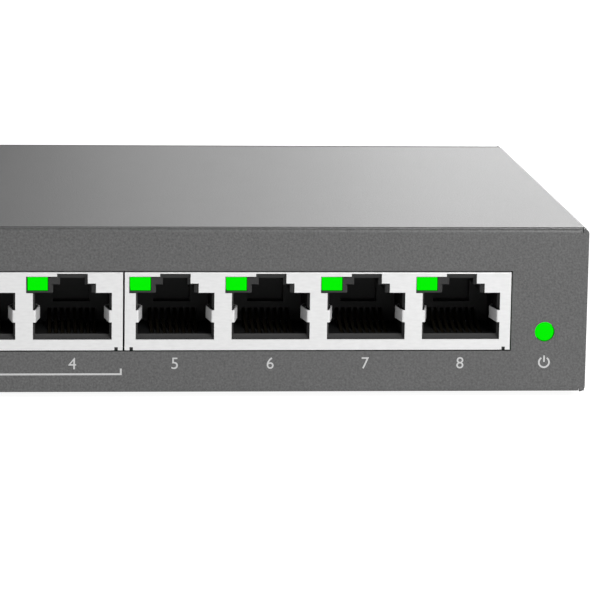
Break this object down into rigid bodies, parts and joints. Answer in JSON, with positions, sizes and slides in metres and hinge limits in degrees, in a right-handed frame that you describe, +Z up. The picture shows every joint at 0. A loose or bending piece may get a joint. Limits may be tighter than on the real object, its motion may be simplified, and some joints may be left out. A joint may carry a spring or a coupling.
{
  "type": "desktop network switch",
  "caption": "Desktop network switch in a flat bent steel case with a row of shielded sockets and status lamps along the front.",
  "frame": {"origin": "on the surface under the feet, below the middle of the body", "axes": "+X to the right seen from the front, +Y to the back, +Z up; the sockets face -Y"},
  "size_m": [0.174, 0.098, 0.0275],
  "materials": {
    "painted_steel": "fine textured powder coat, mid grey",
    "screw_steel": "zinc plated",
    "standoff_steel": "zinc plated",
    "foot_rubber": "matt black rubber",
    "film": "black insulating sheet",
    "board": "solder mask over glass-epoxy laminate",
    "socket_plastic": "moulded, satin",
    "shield_metal": "bright tin plate",
    "tinned_wire": "tinned copper",
    "contact_gold": "gold plated phosphor bronze",
    "lamp_green": "lit green lens",
    "spacer_plastic": "moulded nylon",
    "inlet_plastic": "moulded, satin",
    "inlet_metal": "nickel plated brass",
    "chip_black": "moulded epoxy",
    "thermal_pad": "soft silicone pad",
    "heatsink_aluminium": "black anodised",
    "can_aluminium": "drawn can",
    "ferrite": "sintered ferrite",
    "ceramic_chip": "fired ceramic"
  },
  "bodies": {
    "chassis": {"base_tray": "painted_steel", "board_screws": "screw_steel", "board_standoffs": "standoff_steel", "bulk_capacitor_1": "can_aluminium", "bulk_capacitor_2": "can_aluminium", "chip_passives": "ceramic_chip", "cover_screws": "screw_steel", "crystal": "can_aluminium", "foot_back_left": "foot_rubber", "foot_back_right": "foot_rubber", "foot_front_left": "foot_rubber", "foot_front_right": "foot_rubber", "fuse": "ceramic_chip", "heatsink": "heatsink_aluminium", "inlet_housing": "inlet_plastic", "inlet_pin": "inlet_metal", "inlet_spring": "inlet_metal", "insulating_film": "film", "jack_housing_left": "socket_plastic", "jack_housing_right": "socket_plastic", "jack_shield_left": "shield_metal", "jack_shield_right": "shield_metal", "jack_terminals_left": "tinned_wire", "jack_terminals_right": "tinned_wire", "lamp_leads_left": "tinned_wire", "lamp_leads_right": "tinned_wire", "main_board": "board", "memory_chip": "chip_black", "port_1_lamp": "lamp_green", "port_2_lamp": "lamp_green", "port_3_lamp": "lamp_green", "port_4_lamp": "lamp_green", "port_5_lamp": "lamp_green", "port_6_lamp": "lamp_green", "port_7_lamp": "lamp_green", "port_8_lamp": "lamp_green", "power_control_chip": "chip_black", "power_inductor": "ferrite", "power_lamp": "lamp_green", "power_lamp_leads": "tinned_wire", "power_lamp_spacer": "spacer_plastic", "regulator_chip": "chip_black", "surge_diode": "chip_black", "switch_chip": "chip_black", "thermal_pad": "thermal_pad", "top_cover": "painted_steel", "transformer_1": "chip_black", "transformer_2": "chip_black", "transformer_3": "chip_black", "transformer_4": "chip_black"},
    "port_1_springs": {"port_1_contacts": "contact_gold"},
    "port_2_springs": {"port_2_contacts": "contact_gold"},
    "port_3_springs": {"port_3_contacts": "contact_gold"},
    "port_4_springs": {"port_4_contacts": "contact_gold"},
    "port_5_springs": {"port_5_contacts": "contact_gold"},
    "port_6_springs": {"port_6_contacts": "contact_gold"},
    "port_7_springs": {"port_7_contacts": "contact_gold"},
    "port_8_springs": {"port_8_contacts": "contact_gold"}
  },
  "joints": [
    {"name": "port_1_contact_flex", "type": "hinge", "parent": "chassis", "child": "port_1_springs", "pos_m": [-0.04254, -0.04625, 0.00944], "axis": [-1, 0, 0], "range_deg": [0, 6], "stiffness_Nm_per_rad": 0.1},
    {"name": "port_2_contact_flex", "type": "hinge", "parent": "chassis", "child": "port_2_springs", "pos_m": [-0.0273, -0.04625, 0.00944], "axis": [-1, 0, 0], "range_deg": [0, 6], "stiffness_Nm_per_rad": 0.1},
    {"name": "port_3_contact_flex", "type": "hinge", "parent": "chassis", "child": "port_3_springs", "pos_m": [-0.01206, -0.04625, 0.00944], "axis": [-1, 0, 0], "range_deg": [0, 6], "stiffness_Nm_per_rad": 0.1},
    {"name": "port_4_contact_flex", "type": "hinge", "parent": "chassis", "child": "port_4_springs", "pos_m": [0.00317, -0.04625, 0.00944], "axis": [-1, 0, 0], "range_deg": [0, 6], "stiffness_Nm_per_rad": 0.1},
    {"name": "port_5_contact_flex", "type": "hinge", "parent": "chassis", "child": "port_5_springs", "pos_m": [0.01943, -0.04625, 0.00944], "axis": [-1, 0, 0], "range_deg": [0, 6], "stiffness_Nm_per_rad": 0.1},
    {"name": "port_6_contact_flex", "type": "hinge", "parent": "chassis", "child": "port_6_springs", "pos_m": [0.03467, -0.04625, 0.00944], "axis": [-1, 0, 0], "range_deg": [0, 6], "stiffness_Nm_per_rad": 0.1},
    {"name": "port_7_contact_flex", "type": "hinge", "parent": "chassis", "child": "port_7_springs", "pos_m": [0.0499, -0.04625, 0.00944], "axis": [-1, 0, 0], "range_deg": [0, 6], "stiffness_Nm_per_rad": 0.1},
    {"name": "port_8_contact_flex", "type": "hinge", "parent": "chassis", "child": "port_8_springs", "pos_m": [0.06514, -0.04625, 0.00944], "axis": [-1, 0, 0], "range_deg": [0, 6], "stiffness_Nm_per_rad": 0.1}
  ]
}
